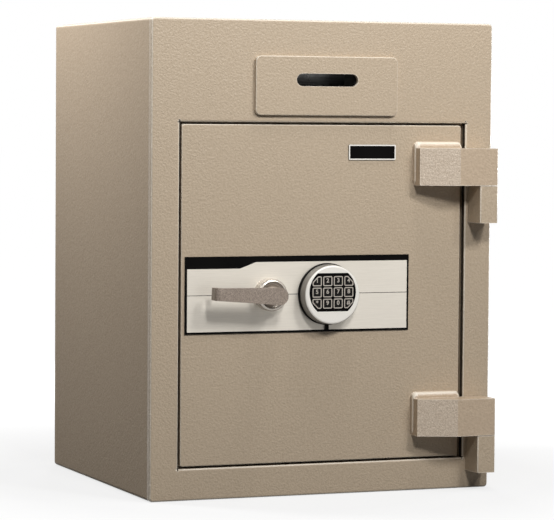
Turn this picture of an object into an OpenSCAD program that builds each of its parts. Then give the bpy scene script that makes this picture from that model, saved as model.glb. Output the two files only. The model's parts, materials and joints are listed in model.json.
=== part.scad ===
// Deposit safe: a steel cabinet with a posting slot above a hinged, bolted door.
// Frame: origin on the floor at the middle of the body's footprint, +Z up, the door faces -Y.
// "Depth" is measured back from the body's front plane, so what stands proud has a negative depth.

/* [Body] */
// Outside width of the body
body_w = 500; // [460:1:560]
// Outside height of the body
body_h = 645; // [620:1:720]
// Outside depth of the body, without the handle, keypad and hinges
body_d = 425; // [360:1:520]
// Outer casing plate
casing_t = 6; // [4:0.5:8]
// Barrier fill between the casing and the liner
fill_t = 13; // [8:1:16]
// Inner liner sheet
liner_t = 3; // [2:0.5:4]
// Front frame plate
frame_t = 10; // [8:0.5:12]
// Radius of the casing's long edges
casing_r = 5; // [4:0.5:6]
// Rounding of the front frame's edges
frame_edge_r = 3; // [2:0.5:3.5]
// Radius of the floor anchor holes
anchor_hole_r = 7; // [5:0.5:9]
// Anchor hole spacing across the width
anchor_spacing_x = 300; // [200:1:340]
// Anchor hole spacing along the depth
anchor_spacing_y = 220; // [140:1:240]

/* [Door opening] */
// Width of the frame left of the door
left_rail = 40; // [36:0.5:44]
// Width of the frame on the hinge side
right_rail = 40; // [38:0.5:44]
// Height of the frame above the door
top_rail = 138; // [134:1:160]
// Height of the frame below the door
bottom_rail = 43; // [38:0.5:60]
// Gap round the door, but for its hinge side
door_gap = 3; // [2.5:0.1:4]
// Gap between the door and the frame on the hinge side
hinge_side_gap = 7; // [5:0.5:8]
// How far the jamb's stop reaches in past the opening, but for its hinge side
jamb_step = 10; // [8:0.5:12]
// Depth at which the jamb's stop begins
jamb_stop_depth = 16; // [15:0.5:20]
// Depth of the jamb's back face
jamb_back_depth = 38; // [34:0.5:40]
// Height of the jamb's top member above the opening
jamb_top_h = 20; // [12:1:24]

/* [Deposit slot] */
// Width of the slot plate
slot_plate_w = 208; // [160:1:260]
// Height of the slot plate
slot_plate_h = 80; // [60:1:84]
// Thickness of the slot plate
slot_plate_t = 6; // [4:0.5:10]
// Corner radius of the slot plate
slot_plate_r = 8; // [4:0.5:14]
// From the top of the body to the top of the slot plate
slot_plate_drop = 48.5; // [44:0.5:50]
// Length of the posting slot
slot_w = 90; // [60:1:120]
// Height of the posting slot
slot_h = 17; // [12:0.5:20]
// How far the slot sits above the middle of its plate
slot_rise = 8; // [4:0.5:10]
// Chute sheet metal
chute_t = 2; // [1.5:0.25:3]
// Length of the chute behind the frame
chute_len = 82; // [78:1:110]
// Slope of the chute's floor
chute_slope = 30; // [26:1:31]
// Clear width of the chute past each end of the slot
chute_side_room = 3; // [2:0.5:10]
// Number of teeth on the baffle that stops things being fished out
baffle_teeth = 8; // [4:1:12]

/* [Hinges] */
// Height of one hinge half
hinge_h = 51; // [44:0.5:54]
// Running gap between a strap and its knuckle
hinge_gap = 0.6; // [0.4:0.1:1]
// Width of the knuckle block
knuckle_w = 27; // [25:0.5:28]
// How far the hinge stands proud of the front
hinge_proud = 40.5; // [38:0.5:42]
// How far the hinge axis stands proud of the front
hinge_axis_proud = 24; // [23.5:0.25:25]
// From the body's right side to the knuckle
knuckle_inset = 8.5; // [6:0.5:9]
// Radius of the hinge pin
hinge_pin_r = 8; // [6:0.5:9]
// Top of the upper strap, from the top of the door opening
upper_strap_drop = 34; // [28:1:80]
// Bottom of the lower knuckle, from the floor
lower_knuckle_z = 25.5; // [22:0.5:40]
// Length of the strap's flat outer part, from the hinge axis
strap_flat_len = 44; // [40:1:50]
// Length of the strap from the hinge axis to its free end
strap_len = 96; // [88:0.5:110]
// How far the strap's free end stands proud of the door
strap_end_proud = 20.5; // [12:0.5:22]
// How far the strap's foot shows above the strap
foot_top = 9.5; // [5:0.5:12]
// How far the strap's foot shows below the strap
foot_bottom = 1.5; // [1:0.5:8]
// How far the strap's foot shows past the strap's free end
foot_side = 2; // [2:0.5:8]
// Thickness of the strap's foot
foot_t = 9; // [4:0.5:10]

/* [Door] */
// Door front plate thickness
door_plate_t = 12; // [10:0.5:12.5]
// Rounding of the door plate's front edges
door_edge_r = 1.5; // [1:0.25:2]
// Depth of the inner pan behind the door plate, to the back of the door
door_back_depth = 70; // [69:0.5:73]
// Gap between the inner pan and the jamb's stop on the lock side
pan_lock_gap = 12; // [11:0.5:14]
// Gap between the inner pan and the jamb's stop elsewhere
pan_gap = 8; // [6:0.5:12]
// Inner pan sheet
pan_t = 3; // [2:0.5:4]
// Depth of the barrier fill's back face in the door
door_fill_depth = 34; // [32:0.5:34]
// Plate that carries the boltwork
boltwork_plate_t = 3; // [2:0.5:3]
// Door back cover sheet
cover_t = 2; // [1.5:0.25:2.5]

/* [Boltwork] */
// Radius of a live bolt
bolt_r = 12; // [10:0.5:12]
// Spacing of the live bolts
bolt_pitch = 125; // [90:1:130]
// Travel of the live bolts
bolt_throw = 26; // [22:0.5:27]
// Depth of the middle of the live bolts
bolt_depth = 53; // [52:0.25:53.5]
// Thickness of the carriage plate
carriage_t = 5; // [4:0.5:6]
// Radius of the crank's roller
roller_r = 5; // [4:0.25:5.5]
// Free play of the roller in the yoke, each side
roller_play = 0.75; // [0.7:0.05:1]
// Height of a fixed bolt on the hinge side
dog_h = 60; // [40:1:80]

/* [Handle] */
// Handle axis, from the left edge of the door
handle_from_left = 125; // [118:0.5:128]
// Height of the handle axis
handle_z = 275; // [270:0.5:280]
// Tilt of the lever above level when the door is unlocked
lever_tilt = 2.5; // [0:0.5:6]
// Lever length from its axis to its tip
lever_len = 91; // [80:0.5:105]
// Radius of the lever's round end
lever_hub_r = 11.5; // [10.5:0.1:13]
// Half the height of the lever at its tip
lever_tip_half = 8.3; // [6:0.1:9]
// Thickness of the lever's blade
lever_t = 9; // [7:0.5:10]
// How far the lever's face stands proud of the door
lever_proud = 45.5; // [40:0.5:50]
// How far the lever's hooked tip reaches back from its face
lever_hook = 20; // [16:0.5:24]
// Radius of the handle's rose
rose_r = 21.8; // [19:0.1:24]
// Thickness of the handle's rose
rose_t = 16.5; // [10:0.5:18]
// Radius of the handle spindle
spindle_r = 7; // [6:0.25:8]

/* [Fascia and keypad] */
// Width of the fascia
fascia_w = 327; // [300:1:340]
// Height of the fascia
fascia_h = 104; // [96:1:120]
// Fascia middle height
fascia_z = 275; // [265:0.5:285]
// From the door's left edge to the fascia
fascia_from_left = 5; // [4:0.5:10]
// Thickness of the fascia's backing
fascia_t = 1.5; // [1:0.1:2.5]
// Thickness of the fascia's bright facing
facing_t = 0.5; // [0.4:0.1:1]
// Dark border left, right and below the facing
fascia_border = 3; // [2:0.25:5]
// Dark band above the facing
fascia_band = 8; // [5:0.5:12]
// Extra depth of the dark band at its left end
band_drop = 8.5; // [5:0.5:14]
// Length of the deep part of the band
band_len = 75.5; // [60:0.5:100]
// Keypad middle, from the left edge of the door
keypad_from_left = 209.5; // [200:0.5:215]
// Height of the keypad's middle
keypad_z = 274.5; // [270:0.5:285]
// How far the keypad's window sits above its middle
window_rise = 3.5; // [0:0.5:4]
// Radius of the keypad base
keypad_r = 42; // [40:0.1:46]
// How far the keypad's face stands proud of the door
keypad_proud = 24; // [23:0.5:32]
// Height of the keypad base
keypad_base_t = 5.5; // [4:0.5:7]
// Pitch of the key columns
key_pitch_x = 15.5; // [15.2:0.1:16]
// Pitch of the key rows
key_pitch_z = 15.2; // [15.1:0.1:16]
// Side of a key
key_w = 13.3; // [12:0.1:13.6]
// How far a key stands proud of the keypad's window
key_proud = 1.1; // [1:0.1:2]
// Travel of a key
key_travel = 0.8; // [0.5:0.1:0.9]
// Width of the blank name plate
badge_w = 70; // [50:1:90]
// Height of the blank name plate
badge_h = 21; // [14:0.5:26]
// Gap between the blank name plate and the upper hinge's foot
badge_gap = 26; // [10:1:40]
// From the top of the door to the top of the blank name plate
badge_drop = 26.5; // [20:0.5:40]

/* [Lock] */
// Lock case width
lock_w = 62; // [58:1:70]
// Lock case height
lock_h = 80; // [70:1:90]
// Lock case depth
lock_d = 24; // [22:0.5:26]
// Lock bolt width
lock_bolt_w = 15; // [12:0.5:15]
// Lock bolt travel
lock_throw = 9; // [7:0.5:10]

/* [Hidden] */
$fn = 64;

front_y = -body_d / 2;
// Radial play of a pin or shaft in its bore
fit = 0.05;
// Radial play of a pin that stays in its seat
seat_fit = 0.02;
// Play of a sliding or soft piece
slide_play = 0.3;
// Extra length of a cutter past a face
through = 1;

// Body
wall = casing_t + fill_t + liner_t;
liner_x = body_w / 2 - wall;
liner_z0 = wall;
liner_z1 = body_h - wall;
liner_back_depth = body_d - wall;

// Door opening
open_x0 = -body_w / 2 + left_rail;
open_x1 = body_w / 2 - right_rail;
open_z0 = bottom_rail;
open_z1 = body_h - top_rail;
door_x0 = open_x0 + door_gap;
door_x1 = open_x1 - hinge_side_gap;
door_z0 = open_z0 + door_gap;
door_z1 = open_z1 - door_gap;
// Inner edge of the jamb's stop on the hinge side: it laps the door as the other sides do
stop_x1 = door_x1 + door_gap - jamb_step;

// Inner pan of the door
pan_x0 = open_x0 + jamb_step + pan_lock_gap;
pan_x1 = stop_x1 - pan_lock_gap;
pan_z0 = open_z0 + jamb_step + pan_gap;
pan_z1 = open_z1 - jamb_step - pan_gap;
pan_back_depth = door_back_depth - cover_t;
pan_gap_to_opening = jamb_step + pan_lock_gap;
boltwork_depth = door_fill_depth + boltwork_plate_t;

// Hinges
hinge_x = body_w / 2 - knuckle_inset - knuckle_w / 2;
hinge_y = front_y - hinge_axis_proud;
hinge_face = hinge_proud - hinge_axis_proud;
upper_strap_z = open_z1 - upper_strap_drop - hinge_h;
upper_knuckle_z = upper_strap_z - hinge_gap - hinge_h;
lower_strap_z = lower_knuckle_z + hinge_h + hinge_gap;
// Air between a strap and the front frame
strap_lift = 1;
strap_swing_r = hinge_axis_proud - strap_lift;
hinge_corner_r = 2.5;
foot_x0 = hinge_x - strap_len - foot_side;
foot_edge_r = foot_t - 1;
// Steel left below a pin in its knuckle, and above the ball in its strap
pin_seat_wall = 5;
pin_cap = 8;
pin_seat_len = hinge_h - pin_seat_wall;
ball_r = hinge_pin_r - seat_fit;
pin_reach = hinge_h + hinge_gap - pin_cap - 2 * ball_r;

// Slot
slot_plate_z = body_h - slot_plate_drop - slot_plate_h / 2;
slot_z = slot_plate_z + slot_rise;
slot_plate_edge_r = 1.5;
// How much larger the frame's slot is than the plate's, all round
frame_slot_room = 2;
chute_half = slot_w / 2 + frame_slot_room + chute_side_room;
chute_floor_z = slot_z - slot_h / 2 - frame_slot_room;
chute_roof_z = slot_z + slot_h / 2 + frame_slot_room + chute_t;
chute_flange = 8;
chute_back_depth = frame_t + chute_len;
baffle_depth = frame_t + chute_len / 2;
baffle_lean = 12;
baffle_h = 24;
baffle_flange = 12;
tooth_h = 6;

// Handle and boltwork
handle_x = door_x0 + handle_from_left;
// The crank's angle at rest; it turns as far past upright to throw the bolts
crank_angle = 45;
crank_r = bolt_throw / 2 / cos(crank_angle);
crank_t = 4;
crank_depth = boltwork_depth + 1;
roller_depth = crank_depth + crank_t;
// Air between the crank and the carriage
carriage_gap = 1.5;
carriage_depth = roller_depth + carriage_gap;
carriage_bar_t = 8;
// From the handle axis to the carriage's upright bar
carriage_bar_offset = 39;
carriage_bar_x = handle_x - carriage_bar_offset;
carriage_bar_end = 6;
bolt_tip_x = pan_x0 - 1;
bolt_tail_r = 6;
nut_r = 9;
nut_room = 3;
nut_t = 5;
guide_w = 14;
guide_wall = 4;
guide_h = 2 * (bolt_r + guide_wall);
bolts_mid_z = (pan_z0 + pan_z1) / 2;
yoke_x = handle_x + bolt_throw / 2;
yoke_z = handle_z + (crank_r + crank_r * sin(crank_angle)) / 2;
yoke_end_room = 1;
yoke_slot_len = crank_r * (1 - sin(crank_angle)) + 2 * (roller_r + yoke_end_room);
yoke_wall = 8;
yoke_half_w = roller_r + yoke_wall;
// From the carriage's bar to the left stud
stud_offset = 24;
stud_r = 4;
stud_head_r = 7;
stud_head_t = 2.5;
bolt_count = 3;

// Keypad and lock
keypad_x = door_x0 + keypad_from_left;
fascia_x0 = door_x0 + fascia_from_left;
fascia_front = fascia_t + facing_t;
key_cols = 4;
key_rows = 3;
// From the outer keys to the window's edges
window_margin_x = 4.2;
window_margin_z = 4.2;
window_half_w = ((key_cols - 1) * key_pitch_x + key_w) / 2 + window_margin_x;
window_half_h = ((key_rows - 1) * key_pitch_z + key_w) / 2 + window_margin_z;
window_z = keypad_z + window_rise;
lock_x = keypad_x;
// From the keypad's middle down to the lock case's bottom
lock_drop = 38;
lock_z0 = keypad_z - lock_drop;
lock_z1 = lock_z0 + lock_h;
lock_depth = boltwork_depth;
lock_wall = 2;
lock_bolt_rest = 2;
arm_gap = 1;
arm_z0 = lock_z1 + lock_bolt_rest + arm_gap;
arm_h = 24;
notch_play = 1;
tube_r = 8;
tube_bore_r = 5;
cable_r = 2.5;

function depth(d) = front_y + d;
function bolt_z(i) = bolts_mid_z + (i - (bolt_count - 1) / 2) * bolt_pitch;

// Plain shapes

// A flat shape drawn in X and Z, from depth d over thickness t
module slab(d, t) {
    translate([0, depth(d) + t, 0])
        rotate([90, 0, 0])
            linear_extrude(t)
                children();
}

module rod(x, z, d, len, r) {
    translate([x, depth(d) + len, z])
        rotate([90, 0, 0])
            cylinder(h = len, r = r);
}

// Turned shape on an axis along Y: the profile's x is the radius, its y the distance in front of depth d
module turned(x, z, d) {
    translate([x, depth(d), z])
        rotate([90, 0, 0])
            rotate_extrude()
                children();
}

module rect(x0, z0, x1, z1) {
    translate([x0, z0])
        square([x1 - x0, z1 - z0]);
}

module round_rect(w, h, r) {
    square([w, h - 2 * r], center = true);
    square([w - 2 * r, h], center = true);
    for (sx = [-1, 1], sz = [-1, 1])
        translate([sx * (w / 2 - r), sz * (h / 2 - r)])
            circle(r);
}

module obround(w, h) {
    square([w - h, h], center = true);
    for (s = [-1, 1])
        translate([s * (w - h) / 2, 0])
            circle(h / 2);
}

module quarter(r) {
    intersection() {
        circle(r);
        square(r);
    }
}

// Section of a plate's rounded edge: r back from the edge, e its rounding, d its depth below the rounding
module edge_profile(r, e, d) {
    translate([0, -d])
        square([r, d]);
    square([r - e, e]);
    translate([r - e, 0])
        quarter(e);
}

// A plate lying in local X and Y, with corner radius r and its upper edges rounded by e
module soft_plate(w, h, t, r, e) {
    linear_extrude(t - e)
        round_rect(w, h, r);
    linear_extrude(t)
        round_rect(w - 2 * e, h - 2 * e, r - e);
    for (s = [-1, 1]) {
        translate([s * (w / 2 - r), h / 2 - r, t - e])
            rotate([90, 0, 0])
                linear_extrude(h - 2 * r)
                    scale_x(s)
                        edge_profile(r, e, (t - e) / 2);
        translate([-(w / 2 - r), s * (h / 2 - r), t - e])
            rotate([90, 0, 90])
                linear_extrude(w - 2 * r)
                    scale_x(s)
                        edge_profile(r, e, (t - e) / 2);
    }
    for (sx = [-1, 1], sy = [-1, 1])
        translate([sx * (w / 2 - r), sy * (h / 2 - r), t - e])
            rotate_extrude()
                edge_profile(r, e, (t - e) / 2);
}

module scale_x(s) {
    mirror([s < 0 ? 1 : 0, 0])
        children();
}

module placed_plate(x, z, d, w, h, t, r, e) {
    translate([x, depth(d) + t, z])
        rotate([90, 0, 0])
            soft_plate(w, h, t, r, e);
}

module anchor_holes(z, len) {
    for (sx = [-1, 1], sy = [-1, 1])
        translate([sx * anchor_spacing_x / 2, sy * anchor_spacing_y / 2, z - through])
            cylinder(h = len + 2 * through, r = anchor_hole_r);
}

// Body

module outer_casing() {
    color("tan")
        difference() {
            slab(frame_t, body_d - frame_t)
                translate([0, body_h / 2])
                    round_rect(body_w, body_h, casing_r);
            slab(frame_t - through, body_d - frame_t + 2 * through)
                translate([0, body_h / 2])
                    square([body_w - 2 * casing_t, body_h - 2 * casing_t], center = true);
            anchor_holes(0, casing_t);
        }
}

module back_panel() {
    color("tan")
        slab(body_d - casing_t, casing_t)
            translate([0, body_h / 2])
                square([body_w - 2 * casing_t, body_h - 2 * casing_t], center = true);
}

// Cuts a quarter round along the front edges of the door opening
module opening_edge_cutters(e) {
    w = open_x1 - open_x0;
    h = open_z1 - open_z0;
    mid_x = (open_x0 + open_x1) / 2;
    mid_z = (open_z0 + open_z1) / 2;
    for (a = [0, 90, 180, 270])
        translate([mid_x, depth(0), mid_z])
            rotate([0, a, 0]) {
                reach = (a % 180 == 0 ? w : h) / 2;
                len = (a % 180 == 0 ? h : w) + 2 * e;
                translate([reach, 0, -len / 2])
                    difference() {
                        translate([-through, -through, 0])
                            cube([e + through, e + through, len]);
                        translate([e, e, -through])
                            cylinder(h = len + 2 * through, r = e);
                    }
            }
}

module front_frame() {
    color("tan")
        difference() {
            placed_plate(0, body_h / 2, 0, body_w, body_h, frame_t, casing_r, frame_edge_r);
            slab(-through, frame_t + 2 * through)
                rect(open_x0, open_z0, open_x1, open_z1);
            opening_edge_cutters(frame_edge_r);
            slab(-through, frame_t + 2 * through)
                translate([0, slot_z])
                    obround(slot_w + 2 * frame_slot_room, slot_h + 2 * frame_slot_room);
        }
}

module door_jamb() {
    top = open_z1 + jamb_top_h;
    color("tan")
        difference() {
            slab(frame_t, jamb_back_depth - frame_t)
                rect(-liner_x, liner_z0, liner_x, top);
            slab(frame_t - through, jamb_stop_depth - frame_t + through)
                rect(open_x0, open_z0, open_x1, open_z1);
            slab(frame_t - through, jamb_back_depth + 2 * through)
                rect(open_x0 + jamb_step, open_z0 + jamb_step, stop_x1, open_z1 - jamb_step);
        }
}

module inner_liner() {
    color("dimgray")
        difference() {
            slab(frame_t, liner_back_depth + liner_t - frame_t)
                rect(-liner_x - liner_t, liner_z0 - liner_t, liner_x + liner_t, liner_z1 + liner_t);
            slab(frame_t - through, liner_back_depth - frame_t + through)
                rect(-liner_x, liner_z0, liner_x, liner_z1);
            anchor_holes(liner_z0 - liner_t, liner_t);
        }
}

module barrier_fill() {
    color("lightgray")
        difference() {
            slab(frame_t, body_d - casing_t - frame_t)
                translate([0, body_h / 2])
                    square([body_w - 2 * casing_t, body_h - 2 * casing_t], center = true);
            slab(frame_t - through, liner_back_depth + liner_t - frame_t + through)
                rect(-liner_x - liner_t, liner_z0 - liner_t, liner_x + liner_t, liner_z1 + liner_t);
            anchor_holes(casing_t, fill_t);
        }
}

// Deposit slot

module slot_plate() {
    color("tan")
        difference() {
            placed_plate(0, slot_plate_z, -slot_plate_t, slot_plate_w, slot_plate_h, slot_plate_t,
                slot_plate_r, slot_plate_edge_r);
            slab(-slot_plate_t - through, slot_plate_t + 2 * through)
                translate([0, slot_z])
                    obround(slot_w, slot_h);
        }
}

// Side view of the chute, drawn with depth across and height up
module chute_side(floor_z, roof_z, from, to) {
    polygon([
        [from, floor_z - (from - frame_t) * tan(chute_slope)],
        [to, floor_z - (to - frame_t) * tan(chute_slope)],
        [to, roof_z],
        [from, roof_z]
    ]);
}

// A side view drawn in depth and height, extruded across X about the middle
module across(w) {
    translate([-w / 2, front_y, 0])
        rotate([90, 0, 90])
            linear_extrude(w)
                children();
}

module deposit_chute() {
    floor_t = chute_t / cos(chute_slope);
    flange_w = 2 * (chute_half + chute_flange);
    flange_h = slot_h + 2 * (frame_slot_room + chute_flange);
    color("dimgray")
        difference() {
            union() {
                across(2 * (chute_half + chute_t))
                    chute_side(chute_floor_z - floor_t, chute_roof_z + chute_t, frame_t, chute_back_depth);
                slab(frame_t, chute_t)
                    translate([0, slot_z])
                        square([flange_w, flange_h], center = true);
            }
            across(2 * chute_half)
                chute_side(chute_floor_z, chute_roof_z, frame_t - through, chute_back_depth + through);
        }
}

module anti_fish_baffle() {
    plate_w = 2 * chute_half - 2 * slide_play;
    pitch = plate_w / baffle_teeth;
    drop = baffle_h * tan(baffle_lean);
    top = chute_roof_z;
    color("silver")
        intersection() {
            across(plate_w)
                polygon([
                    [baffle_depth, top],
                    [baffle_depth + baffle_flange, top],
                    [baffle_depth + baffle_flange, top - chute_t],
                    [baffle_depth + chute_t, top - chute_t],
                    [baffle_depth + chute_t + drop, top - baffle_h],
                    [baffle_depth + drop, top - baffle_h]
                ]);
            slab(baffle_depth - through, baffle_flange + drop + 2 * through)
                translate([-plate_w / 2, top - baffle_h])
                    polygon(concat(
                        [[0, baffle_h], [0, 0]],
                        [for (i = [0 : baffle_teeth - 1]) each [
                            [(i + 0.5) * pitch, tooth_h],
                            [(i + 1) * pitch, 0]
                        ]],
                        [[plate_w, baffle_h]]
                    ));
        }
}

// Hinges

module hinge_knuckle(z) {
    color("tan")
        difference() {
            translate([hinge_x - knuckle_w / 2, front_y - hinge_proud, z])
                linear_extrude(hinge_h) {
                    translate([knuckle_w / 2, hinge_proud / 2])
                        round_rect(knuckle_w, hinge_proud, hinge_corner_r);
                    translate([0, hinge_proud / 2])
                        square([knuckle_w, hinge_proud / 2]);
                }
            translate([hinge_x, hinge_y, z + hinge_h - pin_seat_len])
                cylinder(h = pin_seat_len + through, r = hinge_pin_r + seat_fit);
        }
}

module upper_hinge_knuckle() {
    hinge_knuckle(upper_knuckle_z);
}

module lower_hinge_knuckle() {
    hinge_knuckle(lower_knuckle_z);
}

module hinge_pins() {
    color("silver")
        for (z = [upper_knuckle_z, lower_knuckle_z])
            translate([hinge_x, hinge_y, z + hinge_h - pin_seat_len])
                cylinder(h = pin_seat_len + pin_reach, r = hinge_pin_r);
}

module hinge_bearing_balls() {
    color("silver")
        for (z = [upper_knuckle_z, lower_knuckle_z])
            translate([hinge_x, hinge_y, z + hinge_h + pin_reach + ball_r])
                sphere(r = ball_r);
}

// Plan of a strap about the hinge axis: flat over the frame, sloping down to its free end on the door
module strap_plan() {
    edge_x = door_x1 - hinge_x;
    corner = [knuckle_w / 2 - hinge_corner_r, hinge_corner_r - hinge_face];
    polygon([
        [0, -hinge_face],
        [-strap_flat_len, -hinge_face],
        [-strap_len, hinge_axis_proud - strap_end_proud],
        [-strap_len, hinge_axis_proud],
        [edge_x, hinge_axis_proud],
        [edge_x, strap_swing_r],
        [0, strap_swing_r]
    ]);
    translate([-through, -hinge_face])
        square([corner[0] + through, hinge_face]);
    translate([0, corner[1]])
        square([knuckle_w / 2, -corner[1]]);
    translate(corner)
        circle(hinge_corner_r);
    intersection() {
        circle(strap_swing_r);
        translate([-hinge_face, -through])
            square([hinge_face + knuckle_w / 2, strap_swing_r + 2 * through]);
    }
}

module hinge_strap(z) {
    foot_w = door_x1 - foot_x0;
    foot_h = hinge_h + foot_top + foot_bottom;
    color("tan")
        difference() {
            union() {
                translate([hinge_x, hinge_y, z])
                    linear_extrude(hinge_h)
                        strap_plan();
                placed_plate(
                    foot_x0 + foot_w / 2, z - foot_bottom + foot_h / 2, -foot_t,
                    foot_w, foot_h, foot_t, foot_t, foot_edge_r);
            }
            translate([hinge_x, hinge_y, z - through])
                cylinder(h = hinge_h - pin_cap + fit + through, r = hinge_pin_r + fit);
        }
}

module upper_hinge_strap() {
    hinge_strap(upper_strap_z);
}

module lower_hinge_strap() {
    hinge_strap(lower_strap_z);
}

// Door

module door_plate() {
    w = door_x1 - door_x0;
    h = door_z1 - door_z0;
    color("tan")
        difference() {
            placed_plate(door_x0 + w / 2, door_z0 + h / 2, 0, w, h, door_plate_t, 2 * door_edge_r, door_edge_r);
            rod(handle_x, handle_z, -through, door_plate_t + 2 * through, spindle_bush_r);
            rod(keypad_x, keypad_z, -through, door_plate_t + 2 * through, tube_r + seat_fit);
        }
}

bush_wall = 4;
spindle_bush_r = spindle_r + bush_wall;

module pan_outline(inset) {
    rect(pan_x0 + inset, pan_z0 + inset, pan_x1 - inset, pan_z1 - inset);
}

module door_inner_pan() {
    color("tan")
        difference() {
            slab(door_plate_t, pan_back_depth - door_plate_t)
                pan_outline(0);
            slab(door_plate_t - through, pan_back_depth + 2 * through)
                pan_outline(pan_t);
            for (i = [0 : bolt_count - 1])
                translate([pan_x0 - through, depth(bolt_depth), bolt_z(i)])
                    rotate([0, 90, 0])
                        cylinder(h = pan_t + 2 * through, r = bolt_r + slide_play);
        }
}

module door_fill() {
    t = door_fill_depth - door_plate_t;
    color("lightgray")
        difference() {
            slab(door_plate_t, t)
                pan_outline(pan_t);
            rod(handle_x, handle_z, door_plate_t - through, t + 2 * through, spindle_bush_r);
            rod(keypad_x, keypad_z, door_plate_t - through, t + 2 * through, tube_r + seat_fit);
        }
}

module boltwork_plate() {
    front = door_fill_depth - through;
    len = boltwork_plate_t + 2 * through;
    color("gray")
        difference() {
            slab(door_fill_depth, boltwork_plate_t)
                pan_outline(pan_t);
            rod(handle_x, handle_z, front, len, spindle_bush_r);
            rod(keypad_x, keypad_z, front, len, tube_r + seat_fit);
        }
}

cover_screw_inset = 9;
cover_screw_r = 2.5;
screw_head_t = 2;
function cover_screw_places() = [
    for (x = [pan_x0 + cover_screw_inset, (pan_x0 + pan_x1) / 2, pan_x1 - cover_screw_inset],
         z = [pan_z0 + cover_screw_inset, pan_z1 - cover_screw_inset]) [x, z]
];

module door_back_cover() {
    color("tan")
        difference() {
            slab(pan_back_depth, cover_t)
                pan_outline(0);
            for (p = cover_screw_places())
                rod(p[0], p[1], pan_back_depth - through, cover_t + 2 * through, cover_screw_r + seat_fit);
        }
}

// Screws with the posts that carry the cover
module cover_screws() {
    color("silver")
        for (p = cover_screw_places()) {
            rod(p[0], p[1], boltwork_depth, pan_back_depth - boltwork_depth, 2 * cover_screw_r);
            rod(p[0], p[1], pan_back_depth - through, cover_t + through, cover_screw_r);
            rod(p[0], p[1], door_back_depth, screw_head_t, 2 * cover_screw_r);
        }
}

module door_seal() {
    seal_w = 5;
    seal_inset = 1;
    seal_t = jamb_stop_depth - door_plate_t - 2 * slide_play;
    color("black")
        slab(door_plate_t, seal_t)
            difference() {
                rect(door_x0 + seal_inset, door_z0 + seal_inset, door_x1 - seal_inset, door_z1 - seal_inset);
                rect(
                    door_x0 + seal_inset + seal_w, door_z0 + seal_inset + seal_w,
                    door_x1 - seal_inset - seal_w, door_z1 - seal_inset - seal_w);
            }
}

// The dogs stay clear of the jamb's back corner as the door swings about the hinge axis
dog_clear = 1.5;
jamb_corner_r = norm([hinge_x - stop_x1, jamb_back_depth + hinge_axis_proud]);
dog_depth = jamb_corner_r + dog_clear - hinge_axis_proud;

module hinge_side_dogs() {
    dog_reach = pan_gap_to_opening;
    t = pan_back_depth - dog_depth;
    color("silver")
        for (i = [-1, 1])
            slab(dog_depth, t)
                translate([pan_x1 + dog_reach / 2, bolts_mid_z + i * bolt_pitch])
                    square([dog_reach, dog_h], center = true);
}

module name_plate() {
    rim = 2;
    t = 1.5;
    sink = 0.5;
    x = foot_x0 - badge_gap - badge_w / 2;
    z = door_z1 - badge_drop - badge_h / 2;
    color("silver")
        difference() {
            slab(-t, t)
                translate([x, z])
                    round_rect(badge_w, badge_h, rim);
            slab(-t - through, sink + through)
                translate([x, z])
                    square([badge_w - 2 * rim, badge_h - 2 * rim], center = true);
        }
}

// Fascia

module fascia_holes(d, t) {
    rod(handle_x, handle_z, d - through, t + 2 * through, spindle_bush_r);
    rod(keypad_x, keypad_z, d - through, t + 2 * through, tube_r + seat_fit);
}

module fascia_backing() {
    color("black")
        difference() {
            slab(-fascia_t, fascia_t)
                translate([fascia_x0, fascia_z - fascia_h / 2])
                    square([fascia_w, fascia_h]);
            fascia_holes(-fascia_t, fascia_t);
        }
}

module fascia_facing() {
    line = 0.8;
    slant = 23;
    x0 = fascia_x0 + fascia_border;
    x1 = fascia_x0 + fascia_w - fascia_border;
    z0 = fascia_z - fascia_h / 2 + fascia_border;
    z1 = fascia_z + fascia_h / 2 - fascia_band;
    color("gainsboro")
        difference() {
            slab(-fascia_front, facing_t)
                polygon([
                    [x0, z0], [x1, z0], [x1, z1],
                    [x0 + band_len + slant, z1],
                    [x0 + band_len, z1 - band_drop],
                    [x0, z1 - band_drop]
                ]);
            slab(-fascia_front - through, facing_t + 2 * through)
                rect(x0 - through, fascia_z - line / 2, x1 + through, fascia_z + line / 2);
            fascia_holes(-fascia_front, facing_t);
        }
}

// Lock

module lock_case() {
    color("silver")
        difference() {
            slab(lock_depth, lock_d - lock_wall)
                rect(lock_x - lock_w / 2, lock_z0, lock_x + lock_w / 2, lock_z1);
            slab(lock_depth + lock_wall, lock_d)
                rect(
                    lock_x - lock_w / 2 + lock_wall, lock_z0 + lock_wall,
                    lock_x + lock_w / 2 - lock_wall, lock_z1 - lock_wall);
            slab(bolt_pocket_depth - slide_play, lock_bolt_t + 2 * slide_play)
                rect(
                    lock_x - lock_bolt_w / 2 - slide_play, lock_z1 - lock_wall - through,
                    lock_x + lock_bolt_w / 2 + slide_play, lock_z1 + through);
            rod(lock_x, keypad_z, lock_depth - through, lock_wall + 2 * through, tube_r + seat_fit);
            for (p = lock_screw_places())
                rod(p[0], p[1], lock_depth - through, lock_d, lock_screw_r + seat_fit);
        }
}

lock_bolt_t = 8;
lock_bolt_len = 30;
solenoid_w = 20;
solenoid_len = 26;
plunger_r = 2.5;
// Free length of the plunger's bore below the plunger
plunger_room = 2;
bolt_pocket_depth = carriage_depth - (lock_bolt_t - carriage_t) / 2;
plunger_depth = bolt_pocket_depth + lock_bolt_t / 2;
lock_screw_r = 2;
lock_screw_inset = 5;
function lock_screw_places() = [
    for (sx = [-1, 1], z = [lock_z0 + lock_screw_inset, lock_z1 - lock_screw_inset])
        [lock_x + sx * (lock_w / 2 - lock_screw_inset), z]
];

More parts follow.
